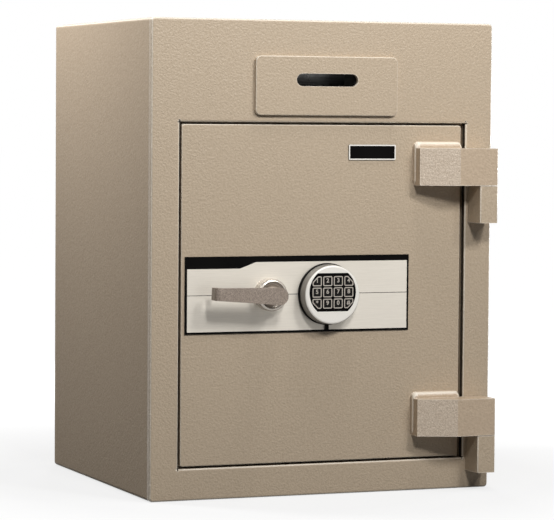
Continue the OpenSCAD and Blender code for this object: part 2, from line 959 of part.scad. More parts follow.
module lock_cover() {
    color("gray")
        difference() {
            slab(lock_depth + lock_d - lock_wall, lock_wall)
                rect(lock_x - lock_w / 2, lock_z0, lock_x + lock_w / 2, lock_z1);
            for (p = lock_screw_places())
                rod(p[0], p[1], lock_depth, lock_d + through, lock_screw_r + seat_fit);
        }
}

module lock_screws() {
    color("silver")
        for (p = lock_screw_places()) {
            rod(p[0], p[1], lock_depth, lock_d, lock_screw_r);
            rod(p[0], p[1], lock_depth + lock_d, screw_head_t, 2 * lock_screw_r);
        }
}

module lock_solenoid() {
    color("goldenrod")
        difference() {
            slab(lock_depth + lock_wall, 2 * (plunger_depth - lock_depth - lock_wall))
                rect(
                    lock_x - solenoid_w / 2, lock_z0 + lock_wall,
                    lock_x + solenoid_w / 2, lock_z0 + lock_wall + solenoid_len);
            translate([lock_x, depth(plunger_depth), lock_z0 + 2 * lock_wall])
                cylinder(h = solenoid_len, r = plunger_r + fit);
        }
}

module lock_bolt() {
    top = lock_z1 + lock_bolt_rest;
    plunger_z = lock_z0 + 2 * lock_wall + plunger_room;
    color("goldenrod") {
        slab(bolt_pocket_depth, lock_bolt_t)
            rect(lock_x - lock_bolt_w / 2, top - lock_bolt_len, lock_x + lock_bolt_w / 2, top);
        translate([lock_x, depth(plunger_depth), plunger_z])
            cylinder(h = top - lock_bolt_len + through - plunger_z, r = plunger_r);
    }
}

module cable_tube() {
    front = -fascia_front;
    back = lock_depth + lock_wall;
    color("gray")
        difference() {
            rod(keypad_x, keypad_z, front, back - front, tube_r);
            rod(keypad_x, keypad_z, front - through, back - front + 2 * through, tube_bore_r);
        }
}

module keypad_cable() {
    cable_tail = 1;
    front = -fascia_front - keypad_base_t;
    back = lock_depth + lock_wall + cable_tail;
    color("dimgray")
        rod(keypad_x, keypad_z - tube_bore_r + cable_r + slide_play, front, back - front, cable_r);
}

// Keypad

housing_wall = 2.4;
window_t = 2;
board_t = 1.6;
housing_face = -keypad_proud;
housing_back = -fascia_front - keypad_base_t;
// How far the housing steps in from the base, and how much it tapers to its face
housing_step = 1.2;
housing_taper = 0.6;
housing_edge_r = 3;
keypad_face_r = keypad_r - housing_step - housing_taper;
keypad_cavity_r = keypad_face_r - housing_wall;
// How far the window lies below the housing's face
window_sink = 0.4;

module keypad_base() {
    tab_w = 4.5;
    tab_len = 7;
    tab_root = 3;
    tab_step = 1.5;
    color("black")
        difference() {
            union() {
                rod(keypad_x, keypad_z, housing_back, keypad_base_t, keypad_r);
                slab(housing_back + tab_step, keypad_base_t - tab_step)
                    rect(
                        keypad_x - tab_w / 2, keypad_z - keypad_r - tab_len,
                        keypad_x + tab_w / 2, keypad_z - keypad_r + tab_root);
            }
            rod(keypad_x, keypad_z, housing_back - through, keypad_base_t + 2 * through, tube_bore_r);
        }
}

module window_outline(grow) {
    intersection() {
        circle(window_half_w + grow);
        square(2 * [window_half_w + grow, window_half_h + grow], center = true);
    }
}

module keypad_housing() {
    h = -housing_face + housing_back;
    edge = housing_edge_r;
    r0 = keypad_r - housing_step;
    r1 = keypad_face_r;
    color("silver")
        difference() {
            turned(keypad_x, keypad_z, housing_back) {
                polygon([[0, 0], [r0, 0], [r1, h - edge], [r1 - edge, h - edge], [r1 - edge, h], [0, h]]);
                translate([r1 - edge, h - edge])
                    quarter(edge);
            }
            rod(keypad_x, keypad_z, housing_face + housing_wall, h - housing_wall + through, keypad_cavity_r);
            slab(housing_face - through, housing_wall + 2 * through)
                translate([keypad_x, window_z])
                    window_outline(0);
        }
}

// Outline of one key about the window's middle; the corner keys are cut back along a slope
module key_outline(col, row, grow) {
    x = (col - (key_cols - 1) / 2) * key_pitch_x;
    z = ((key_rows - 1) / 2 - row) * key_pitch_z;
    half = key_w / 2 + grow;
    corner = (col == 0 || col == key_cols - 1) && (row == 0 || row == key_rows - 1);
    sx = col == 0 ? -1 : 1;
    sz = row == 0 ? 1 : -1;
    cut = key_w * corner_key_cut - grow;
    translate([x, z])
        if (corner)
            polygon([
                [-sx * half, -sz * half],
                [sx * half, -sz * half],
                [sx * half, sz * (half - cut)],
                [sx * (half - cut), sz * half],
                [-sx * half, sz * half]
            ]);
        else
            round_rect(2 * half, 2 * half, key_corner_r + grow);
}

// Gap round a key in the window
key_play = 0.25;
// Share of a corner key's side that is cut off
corner_key_cut = 0.6;
key_corner_r = 2;

module keypad_window() {
    color("black")
        difference() {
            slab(housing_face + window_sink, window_t)
                translate([keypad_x, window_z])
                    window_outline(-key_play / 2);
            for (row = [0 : key_rows - 1], col = [0 : key_cols - 1])
                slab(housing_face + window_sink - through, window_t + 2 * through)
                    translate([keypad_x, window_z])
                        key_outline(col, row, key_play);
        }
}

// The lip behind the window that keeps a key in
key_lip = 0.5;
key_lip_t = 1;
key_front = housing_face + window_sink - key_proud;
key_lip_depth = housing_face + window_sink + window_t + slide_play;
board_depth = key_lip_depth + key_lip_t + key_travel + slide_play;

module key(n) {
    i = n - 1;
    col = i % key_cols;
    row = floor(i / key_cols);
    color("dimgray")
        translate([keypad_x, 0, window_z]) {
            slab(key_front, key_lip_depth + key_lip_t - key_front)
                key_outline(col, row, 0);
            slab(key_lip_depth, key_lip_t)
                key_outline(col, row, key_lip);
        }
}

module keypad_board() {
    color("darkgreen")
        rod(keypad_x, keypad_z, board_depth, board_t, keypad_cavity_r - slide_play);
}

module keypad_battery() {
    battery_w = 48;
    battery_h = 16;
    battery_r = 2;
    battery_rise = 16;
    front = board_depth + board_t + slide_play;
    color("gray")
        slab(front, housing_back - front)
            translate([keypad_x, keypad_z + battery_rise])
                round_rect(battery_w, battery_h, battery_r);
}

// Handle

module handle_rose() {
    edge = 4;
    dish_r = 7;
    dish_sink = 3;
    neck = spindle_r + slide_play;
    mid = (neck + rose_r - edge) / 2;
    color("silver")
        turned(handle_x, handle_z, -fascia_front) {
            difference() {
                union() {
                    translate([neck, 0])
                        square([rose_r - edge - neck, rose_t]);
                    translate([neck, 0])
                        square([rose_r - neck, rose_t - edge]);
                    translate([rose_r - edge, rose_t - edge])
                        quarter(edge);
                }
                translate([mid, rose_t + dish_r - dish_sink])
                    circle(dish_r);
            }
        }
}

module spindle_bush() {
    front = -fascia_front;
    len = boltwork_depth + fascia_front;
    color("goldenrod")
        difference() {
            rod(handle_x, handle_z, front, len, spindle_bush_r - seat_fit);
            rod(handle_x, handle_z, front - through, len + 2 * through, spindle_r + fit);
        }
}

// Front view of the lever about the handle axis, pointing to -X
module lever_outline() {
    reach = lever_len + through;
    slope = (lever_hub_r - lever_tip_half) / lever_len;
    tip = lever_hub_r - slope * reach;
    circle(lever_hub_r);
    polygon([[0, lever_hub_r], [0, -lever_hub_r], [-reach, -tip], [-reach, tip]]);
}

// Plan of the lever: blade, bend and hook, with x along the blade and y behind its face
module lever_plan() {
    bend = 7;
    inner_r = 2;
    difference() {
        union() {
            translate([-lever_len + bend, 0])
                square([lever_len - bend + lever_hub_r + through, lever_t]);
            translate([-lever_len, bend])
                square([hook_t, lever_hook - bend]);
            translate([-lever_len + bend, bend])
                circle(bend);
            translate([-lever_len + bend, bend])
                square([lever_t, lever_t - bend + inner_r]);
        }
        translate([-lever_len + hook_t + inner_r, lever_t + inner_r])
            circle(inner_r);
        translate([-lever_len + hook_t + inner_r, lever_t])
            square([lever_t + bend, lever_hook]);
        translate([-lever_len + hook_t, lever_t + inner_r])
            square([lever_t + bend, lever_hook]);
    }
}

lever_neck_r = 10;
hook_t = 7;
// Air between the lever's neck and the rose
neck_gap = 0.4;
// Metal left in front of the spindle in the lever
spindle_cap = 4;

module handle_lever() {
    face = -lever_proud;
    neck_front = face + lever_t / 2;
    neck_back = -fascia_front - rose_t - neck_gap;
    blank_h = 4 * lever_hub_r;
    color("silver")
        translate([handle_x, 0, handle_z])
            rotate([0, lever_tilt, 0])
                difference() {
                    union() {
                        intersection() {
                            translate([0, depth(face), -blank_h / 2])
                                linear_extrude(blank_h)
                                    lever_plan();
                            slab(face - through, lever_hook + 2 * through)
                                lever_outline();
                        }
                        rod(0, 0, neck_front, neck_back - neck_front, lever_neck_r);
                    }
                    rod(0, 0, spindle_front, neck_back - spindle_front + through, spindle_r + seat_fit);
                }
}

spindle_front = -lever_proud + spindle_cap;

// Spindle with its crank arm welded on behind the boltwork plate
module handle_spindle() {
    arm_w = 16;
    hub_wall = 4;
    color("gray") {
        rod(handle_x, handle_z, spindle_front, crank_depth + crank_t - spindle_front, spindle_r);
        slab(crank_depth, crank_t)
            translate([handle_x, handle_z])
                rotate(crank_angle) {
                    translate([0, -arm_w / 2])
                        square([crank_r, arm_w]);
                    circle(spindle_r + hub_wall);
                    translate([crank_r, 0])
                        circle(arm_w / 2);
                }
    }
}

module crank_roller() {
    color("goldenrod")
        rod(
            handle_x + crank_r * cos(crank_angle), handle_z + crank_r * sin(crank_angle),
            roller_depth, carriage_gap + carriage_t + through, roller_r);
}

// Boltwork

module bolt_guides() {
    color("gray")
        for (i = [0 : bolt_count - 1])
            difference() {
                slab(boltwork_depth, pan_back_depth - boltwork_depth - slide_play)
                    translate([pan_x0 + pan_t + guide_w / 2, bolt_z(i)])
                        square([guide_w, guide_h], center = true);
                translate([pan_x0 + pan_t - through, depth(bolt_depth), bolt_z(i)])
                    rotate([0, 90, 0])
                        cylinder(h = guide_w + 2 * through, r = bolt_r + fit);
            }
}

module live_bolts() {
    color("silver")
        for (i = [0 : bolt_count - 1])
            translate([bolt_tip_x, depth(bolt_depth), bolt_z(i)])
                rotate([0, 90, 0]) {
                    cylinder(h = carriage_bar_x - bolt_tip_x, r = bolt_r);
                    cylinder(h = carriage_bar_x + carriage_bar_t + nut_t - bolt_tip_x, r = bolt_tail_r);
                }
}

module bolt_nuts() {
    color("gray")
        for (i = [0 : bolt_count - 1])
            translate([carriage_bar_x + carriage_bar_t, depth(bolt_depth), bolt_z(i)])
                rotate([0, 90, 0])
                    difference() {
                        cylinder(h = nut_t, r = nut_r, $fn = 6);
                        translate([0, 0, -through])
                            cylinder(h = nut_t + 2 * through, r = bolt_tail_r + seat_fit);
                    }
}

stud_left_x = carriage_bar_x + stud_offset;
stud_right_x = lock_x + lock_w;
stud_places = [for (x = [stud_left_x, stud_right_x]) [x, arm_z0 + arm_h / 2]];
arm_x1 = stud_right_x + bolt_throw + stud_head_r;

module bolt_carriage() {
    bar_z0 = bolt_z(0) - bolt_r - carriage_bar_end;
    bar_z1 = bolt_z(bolt_count - 1) + bolt_r + carriage_bar_end;
    bar_front = carriage_depth;
    bar_back = bolt_depth + nut_r + 2 * through;
    notch_w = lock_bolt_w + 2 * notch_play;
    color("gray")
        difference() {
            union() {
                slab(bar_front, bar_back - bar_front)
                    rect(carriage_bar_x, bar_z0, carriage_bar_x + carriage_bar_t, bar_z1);
                slab(carriage_depth, carriage_t)
                    rect(carriage_bar_x, bolts_mid_z + nut_r + nut_room, yoke_x + yoke_half_w, arm_z0 + arm_h);
                slab(carriage_depth, carriage_t)
                    rect(yoke_x - yoke_half_w, yoke_z - yoke_slot_len, yoke_x + yoke_half_w, arm_z0 + arm_h);
                slab(carriage_depth, carriage_t)
                    rect(carriage_bar_x, arm_z0, arm_x1, arm_z0 + arm_h);
            }
            for (i = [0 : bolt_count - 1])
                translate([carriage_bar_x - through, depth(bolt_depth), bolt_z(i)])
                    rotate([0, 90, 0])
                        cylinder(h = carriage_bar_t + 2 * through, r = bolt_tail_r + seat_fit);
            slab(carriage_depth - through, carriage_t + 2 * through)
                translate([yoke_x, yoke_z])
                    rotate(90)
                        obround(yoke_slot_len + 2 * roller_play, 2 * (roller_r + roller_play));
            for (p = stud_places)
                slab(carriage_depth - through, carriage_t + 2 * through)
                    translate([p[0] + bolt_throw / 2, p[1]])
                        obround(bolt_throw + 2 * (stud_r + slide_play), 2 * (stud_r + slide_play));
            for (k = [0, 1])
                slab(carriage_depth - through, carriage_t + 2 * through)
                    rect(
                        lock_x + k * bolt_throw - notch_w / 2, arm_z0 - through,
                        lock_x + k * bolt_throw + notch_w / 2, arm_z0 + lock_throw + notch_play);
        }
}

// Shoulder studs that the carriage slides on, with their heads
module carriage_studs() {
    shoulder = carriage_depth + carriage_t + slide_play;
    color("silver")
        for (p = stud_places) {
            rod(p[0], p[1], boltwork_depth, shoulder - boltwork_depth, stud_r);
            rod(p[0], p[1], boltwork_depth, carriage_depth - slide_play - boltwork_depth, stud_head_r);
            rod(p[0], p[1], shoulder, stud_head_t, stud_head_r);
        }
}

outer_casing();
back_panel();
front_frame();
door_jamb();
inner_liner();
barrier_fill();
slot_plate();
deposit_chute();
anti_fish_baffle();
upper_hinge_knuckle();
lower_hinge_knuckle();
hinge_pins();
hinge_bearing_balls();
door_plate();
door_inner_pan();
door_fill();
boltwork_plate();
door_back_cover();
cover_screws();
upper_hinge_strap();
lower_hinge_strap();
hinge_side_dogs();
bolt_guides();
carriage_studs();
door_seal();
name_plate();
fascia_backing();
fascia_facing();
lock_case();
lock_cover();
lock_solenoid();
lock_screws();
cable_tube();
keypad_cable();
keypad_base();
keypad_housing();
keypad_window();
keypad_board();
keypad_battery();
handle_rose();
spindle_bush();
handle_lever();
handle_spindle();
crank_roller();
bolt_carriage();
live_bolts();
bolt_nuts();
lock_bolt();
key(1);  // key_1
key(2);  // key_2
key(3);  // key_3
key(4);  // key_4
key(5);  // key_5
key(6);  // key_6
key(7);  // key_7
key(8);  // key_8
key(9);  // key_9
key(10);  // key_10
key(11);  // key_11
key(12);  // key_12
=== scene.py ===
"""Looks of the deposit safe: materials, small details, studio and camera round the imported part.

Metres, in the part's own frame: origin on the floor in the middle of the body, +Z up.
The door faces -Y.
"""

import json
import math

import bmesh
import bpy
from mathutils import Matrix, Vector

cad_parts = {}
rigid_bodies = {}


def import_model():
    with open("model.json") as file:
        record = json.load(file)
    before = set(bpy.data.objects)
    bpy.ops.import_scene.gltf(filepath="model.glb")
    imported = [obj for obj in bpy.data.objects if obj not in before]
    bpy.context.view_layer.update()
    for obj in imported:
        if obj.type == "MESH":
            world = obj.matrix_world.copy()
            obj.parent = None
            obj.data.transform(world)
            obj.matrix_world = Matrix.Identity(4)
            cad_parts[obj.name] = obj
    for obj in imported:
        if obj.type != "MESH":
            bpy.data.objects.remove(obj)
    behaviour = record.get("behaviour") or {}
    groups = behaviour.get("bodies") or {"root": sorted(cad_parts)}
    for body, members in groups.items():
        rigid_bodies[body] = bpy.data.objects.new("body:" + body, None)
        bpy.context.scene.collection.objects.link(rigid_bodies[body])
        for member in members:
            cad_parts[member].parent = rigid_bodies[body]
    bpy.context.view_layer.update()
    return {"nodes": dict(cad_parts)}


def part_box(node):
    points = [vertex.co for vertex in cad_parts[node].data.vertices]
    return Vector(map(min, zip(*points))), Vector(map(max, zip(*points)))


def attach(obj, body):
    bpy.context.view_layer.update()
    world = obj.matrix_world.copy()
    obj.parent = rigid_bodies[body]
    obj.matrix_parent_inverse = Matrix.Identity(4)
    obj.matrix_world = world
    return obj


for startup_object in list(bpy.data.objects):
    bpy.data.objects.remove(startup_object)

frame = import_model()
nodes = frame["nodes"]

MM = 0.001


# Camera

# Fitted to the corners of the body and the door in the photograph
IMAGE_W = 554
SENSOR_W = 36.0
CAMERA_PLACE = Vector((-1.4703, -3.7083, 0.5187))
CAMERA_AZIMUTH = math.radians(21.836)
CAMERA_ELEVATION = math.radians(-2.999)
CAMERA_ROLL = math.radians(0.437)
CAMERA_FOCAL_PX = 2793.36


def make_camera():
    """Camera at the photograph's viewing angle.

    The right, down and forward axes of the image plane give its turn.
    """
    az, el, roll = CAMERA_AZIMUTH, CAMERA_ELEVATION, CAMERA_ROLL
    forward = Vector((math.sin(az) * math.cos(el), math.cos(az) * math.cos(el), math.sin(el)))
    right = Vector((math.cos(az), -math.sin(az), 0))
    down = -right.cross(forward)
    image_right = math.cos(roll) * right - math.sin(roll) * down
    image_down = math.sin(roll) * right + math.cos(roll) * down
    camera = bpy.data.cameras.new("camera")
    camera.sensor_width = SENSOR_W
    camera.sensor_fit = "HORIZONTAL"
    camera.lens = CAMERA_FOCAL_PX / IMAGE_W * SENSOR_W
    camera.clip_start = 0.1
    camera.clip_end = 100
    camera_object = bpy.data.objects.new("camera", camera)
    bpy.context.scene.collection.objects.link(camera_object)
    turn = Matrix((image_right, -image_down, -forward)).transposed()
    camera_object.matrix_world = Matrix.Translation(CAMERA_PLACE) @ turn.to_4x4()
    bpy.context.scene.camera = camera_object


# Node building

def srgb(r, g, b):
    """A colour given as 0 to 255 sRGB values, as linear RGBA."""
    def linear(v):
        v = v / 255
        return v / 12.92 if v <= 0.04045 else ((v + 0.055) / 1.055) ** 2.4
    return (linear(r), linear(g), linear(b), 1.0)


# Places of the colour sockets on a Mix node
MIX_A, MIX_B, MIX_RESULT = 6, 7, 2
BEVEL_SAMPLES = 6
# Fade of a sharp edge, by how alike the eased and the true normal are
SHARP_FADE = (0.8, 0.99)
# Fade of a rounded edge, by the largest of the normal's parts
ROUND_FADE = (0.8, 0.94)


class Graph:
    """A node tree with short calls for adding and linking nodes."""

    def __init__(self, tree):
        self.tree = tree

    def add(self, kind, settings=None, **inputs):
        """Adds a node, sets its properties from settings, and sets or links its inputs by name."""
        node = self.tree.nodes.new(kind)
        for key, value in (settings or {}).items():
            setattr(node, key, value)
        for name, value in inputs.items():
            self.put(node, name, value)
        return node

    def put(self, node, name, value):
        """Links an input, given by name or place, to a socket, or sets it to a value."""
        socket = node.inputs[name.replace("_", " ")] if isinstance(name, str) else node.inputs[name]
        if isinstance(value, bpy.types.NodeSocket):
            self.tree.links.new(value, socket)
        else:
            socket.default_value = value

    def noise(self, where, scale, detail=2.0, roughness=0.5):
        node = self.add("ShaderNodeTexNoise", Vector=where, Scale=scale, Detail=detail,
                        Roughness=roughness)
        return node.outputs["Fac"]

    def spread(self, value, low, high, to_low, to_high):
        """Maps low..high of a value to to_low..to_high, clamped."""
        node = self.add("ShaderNodeMapRange")
        for place, number in enumerate((value, low, high, to_low, to_high)):
            self.put(node, place, number)
        return node.outputs["Result"]

    def spread_noise(self, value, to_low, to_high, tail=0.3):
        """Maps a noise to to_low..to_high, with the ends reached at tail from 0 and from 1."""
        return self.spread(value, tail, 1 - tail, to_low, to_high)

    def mix(self, factor, a, b):
        node = self.add("ShaderNodeMix", {"data_type": "RGBA"})
        self.put(node, 0, factor)
        self.put(node, MIX_A, a)
        self.put(node, MIX_B, b)
        return node.outputs[MIX_RESULT]

    def math(self, operation, a, b=0.0):
        node = self.add("ShaderNodeMath", {"operation": operation})
        self.put(node, 0, a)
        self.put(node, 1, b)
        return node.outputs[0]

    def vector_math(self, operation, *values):
        """Gives the operation's vector, or its number for a dot product or a length."""
        node = self.add("ShaderNodeVectorMath", {"operation": operation})
        for place, value in enumerate(values):
            self.put(node, place, value)
        return node.outputs["Value" if operation in ("DOT_PRODUCT", "LENGTH") else "Vector"]

    def parts(self, vector):
        """The X, Y and Z of a vector, by name."""
        return self.add("ShaderNodeSeparateXYZ", Vector=vector).outputs

    def object_normal(self):
        return self.add("ShaderNodeTexCoord").outputs["Normal"]

    def edges(self, width, share):
        """0 on open faces, up to share on rounded edges and within the width of a sharp one."""
        eased = self.add("ShaderNodeBevel", {"samples": BEVEL_SAMPLES}, Radius=width)
        true = self.add("ShaderNodeNewGeometry")
        likeness = self.vector_math("DOT_PRODUCT", eased.outputs["Normal"], true.outputs["Normal"])
        sharp = self.spread(likeness, *SHARP_FADE, share, 0)
        size = self.parts(self.vector_math("ABSOLUTE", self.object_normal()))
        most = self.math("MAXIMUM", self.math("MAXIMUM", size["X"], size["Y"]), size["Z"])
        return self.math("MAXIMUM", sharp, self.spread(most, *ROUND_FADE, share, 0))

    def bump(self, height, distance, strength, under=None):
        node = self.add("ShaderNodeBump", Height=height, Distance=distance, Strength=strength)
        if under is not None:
            self.put(node, "Normal", under)
        return node.outputs["Normal"]


def new_material(name, paint, **constants):
    """A Principled material.

    paint(graph, where, shader) links what varies, and constants set the rest on the shader.
    """
    material = bpy.data.materials.new(name)
    material.use_nodes = True
    graph = Graph(material.node_tree)
    shader = material.node_tree.nodes["Principled BSDF"]
    for key, value in constants.items():
        shader.inputs[key.replace("_", " ")].default_value = value
    where = graph.add("ShaderNodeTexCoord").outputs["Object"]
    paint(graph, where, shader)
    return material


# Materials

# Noise frequencies, per metre
PAINT_CELLS = 330
PAINT_GRAIN = 900
PAINT_CLOUD = 5
GLINT_SPECKS = 700
METAL_SMUDGES = 18
BRUSHED_CLOUD = 9
ROSE_TURNING = 1300
SHELL_GRAIN = 1200
MOULDED_CLOUD = 30

FRONT_EDGE_R = 5 * MM
# Middle of the frame's front face, and half its size less the rounded outer edges
FRONT_LOW, FRONT_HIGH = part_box("front_frame")
FRONT_MIDDLE = (FRONT_LOW + FRONT_HIGH) / 2
FRONT_MIDDLE.y = FRONT_LOW.y
FRONT_HALF = (FRONT_HIGH - FRONT_LOW) / 2 - Vector((FRONT_EDGE_R, 0, FRONT_EDGE_R))
# Depths behind the front between which the painted shade of the door gap comes in
GAP_SHADE_FROM, GAP_SHADE_TO = 1.8 * MM, 3 * MM

# The highlight painted along sharp edges and over rounded ones: its width, strength and colour
EDGE_HIGHLIGHT_W = 2.2 * MM
EDGE_HIGHLIGHT_SHARE = 0.8
EDGE_HIGHLIGHT = srgb(230, 221, 206)

CLOUD_SHARE = 0.12
# How far the cells and the grain of the paint stand out, and how strongly they show
CELLS_BUMP = (2 * MM, 0.5)
GRAIN_BUMP = (0.5 * MM, 0.25)
# X of the normal over which the painted glints, a coarse light speckle, come in, and go again
GLINT_IN = (-0.1, -0.15)
GLINT_OUT = (-0.5, -0.6)
# Y of the normal over which the painted shade on a shell's side gives way to its bright face
SHELL_SHADE_FADE = (-0.3, -0.8)

ROSE_MIDDLE = Vector((-82, 0, 275)) * MM
ROSE_DISH_R = 15 * MM
ROSE_RING_BLUR = 0.5 * MM


def hammertone(light, dark, depth=0.8, rough_low=0.3, rough_high=0.42, cast=None, gap_shade=None):
    """Textured paint: soft cells a few millimetres wide, with a finer grain, and pale edges painted
    on as highlights.

    The colour pair, if given, is painted sheen: a coarse speckle of glints on faces that slope
    towards -X.
    The single colour, if given, is painted shade on what lies deeper than the front's rounded
    edges.
    """
    def paint(g, where, shader):
        cells = g.noise(where, PAINT_CELLS, 3.0, 0.55)
        grain = g.noise(where, PAINT_GRAIN, 1.0)
        cloud = g.noise(where, PAINT_CLOUD)
        colour = g.mix(g.spread_noise(cells, 0, 1), dark, light)
        colour = g.mix(g.spread_noise(cloud, 0, CLOUD_SHARE), colour, dark)
        # Painted sheen: faces sloping towards -X take a lighter speckle of glints
        if cast:
            across = g.parts(g.object_normal())["X"]
            sloped = g.math("MULTIPLY", g.spread(across, *GLINT_IN, 0, 1),
                            g.spread(across, *GLINT_OUT, 1, 0))
            glints = g.spread_noise(g.noise(where, GLINT_SPECKS, 2.0, 0.6), 0, 1, 0.35)
            colour = g.mix(sloped, colour, g.mix(glints, cast[1], cast[0]))
        # Painted highlight: edges take a pale colour where light would catch them
        colour = g.mix(g.edges(EDGE_HIGHLIGHT_W, EDGE_HIGHLIGHT_SHARE), colour, EDGE_HIGHLIGHT)
        # Painted shade: the door gap's walls, deeper than the front's rounded edges, are coloured
        # dark
        if gap_shade:
            place = g.parts(g.vector_math("SUBTRACT", where, FRONT_MIDDLE))
            across = g.math("LESS_THAN", g.math("ABSOLUTE", place["X"]), FRONT_HALF.x)
            up = g.math("LESS_THAN", g.math("ABSOLUTE", place["Z"]), FRONT_HALF.z)
            gap_shade_fade = g.spread(place["Y"], GAP_SHADE_FROM, GAP_SHADE_TO, 0, 1)
            colour = g.mix(g.math("MULTIPLY", g.math("MULTIPLY", across, up), gap_shade_fade), colour, gap_shade)
        g.put(shader, "Base Color", colour)
        g.put(shader, "Roughness", g.spread_noise(grain, rough_low, rough_high))
        coarse = g.bump(cells, CELLS_BUMP[0], CELLS_BUMP[1] * depth)
        g.put(shader, "Normal", g.bump(grain, GRAIN_BUMP[0], GRAIN_BUMP[1] * depth, coarse))
    return paint


def worn_metal(light, dark, rough_low, rough_high, scale, depth):
    """Steel or alloy with a fine grain, faint smudges and no scratches."""
    def paint(g, where, shader):
        grain = g.noise(where, scale, 3.0, 0.6)
        smudge = g.noise(where, METAL_SMUDGES, 3.0)
        g.put(shader, "Base Color", g.mix(g.spread_noise(grain, 0, 1, 0.35), dark, light))
        g.put(shader, "Roughness", g.spread_noise(smudge, rough_low, rough_high))
        g.put(shader, "Normal", g.bump(grain, depth, 0.5))
    return paint


def brushed(light, dark, stretch, rough_low, rough_high, depth):
    """Metal brushed along one axis: stretch gives the streaks' frequency along X, Y and Z."""
    def paint(g, where, shader):
        stretched = g.add("ShaderNodeMapping", Vector=where, Scale=stretch).outputs["Vector"]
        streaks = g.noise(stretched, 1.0, 3.0, 0.6)
        cloud = g.noise(where, BRUSHED_CLOUD)
        g.put(shader, "Base Color", g.mix(g.spread_noise(streaks, 0, 1), dark, light))
        g.put(shader, "Roughness", g.spread_noise(cloud, rough_low, rough_high))
        g.put(shader, "Normal", g.bump(streaks, depth, 0.4))
    return paint


def rose_with_painted_dish_shade(light, dark, middle, radius):
    """A turned rose: a bright outer ring, and inside the radius round the middle a dish of painted
    shade.
    """
    def paint(g, where, shader):
        flat = g.vector_math("MULTIPLY", g.vector_math("SUBTRACT", where, middle), (1, 0, 1))
        away = g.vector_math("LENGTH", flat)
        turned = g.noise(where, ROSE_TURNING)
        ring = g.spread(away, radius - ROSE_RING_BLUR, radius + ROSE_RING_BLUR, 0, 1)
        # Painted shade: inside the dish's radius the rose takes the dark colour
        g.put(shader, "Base Color", g.mix(ring, dark, g.mix(turned, dark, light)))
        g.put(shader, "Roughness", g.spread(ring, 0, 1, 0.45, 0.25))
        g.put(shader, "Normal", g.bump(turned, 0.05 * MM, 0.4))
    return paint


def shell_with_painted_side_shade(lit_face, side):
    """A satin shell: bright on its face, with shade painted on its turned side as a duller colour.
    """
    def paint(g, where, shader):
        front = g.spread(g.parts(g.object_normal())["Y"], *SHELL_SHADE_FADE, 0, 1)
        grain = g.noise(where, SHELL_GRAIN, 3.0, 0.6)
        # Painted shade: the turned side takes the darker colour
        colour = g.mix(front, side, lit_face)
        g.put(shader, "Base Color", g.mix(g.spread_noise(grain, 0, 0.1, 0.35), colour, side))
        g.put(shader, "Roughness", g.spread_noise(grain, 0.3, 0.4))
        g.put(shader, "Normal", g.bump(grain, 0.03 * MM, 0.5))
    return paint


def moulded(light, dark, scale, depth, rough_low, rough_high):
    """Plastic, rubber, sheet paint or fill with a fine texture."""
    def paint(g, where, shader):
        grain = g.noise(where, scale, 2.0, 0.6)
        cloud = g.noise(where, MOULDED_CLOUD)
        g.put(shader, "Base Color", g.mix(g.spread_noise(cloud, 0, 1), dark, light))
        g.put(shader, "Roughness", g.spread_noise(grain, rough_low, rough_high))
        g.put(shader, "Normal", g.bump(grain, depth, 0.4))
    return paint


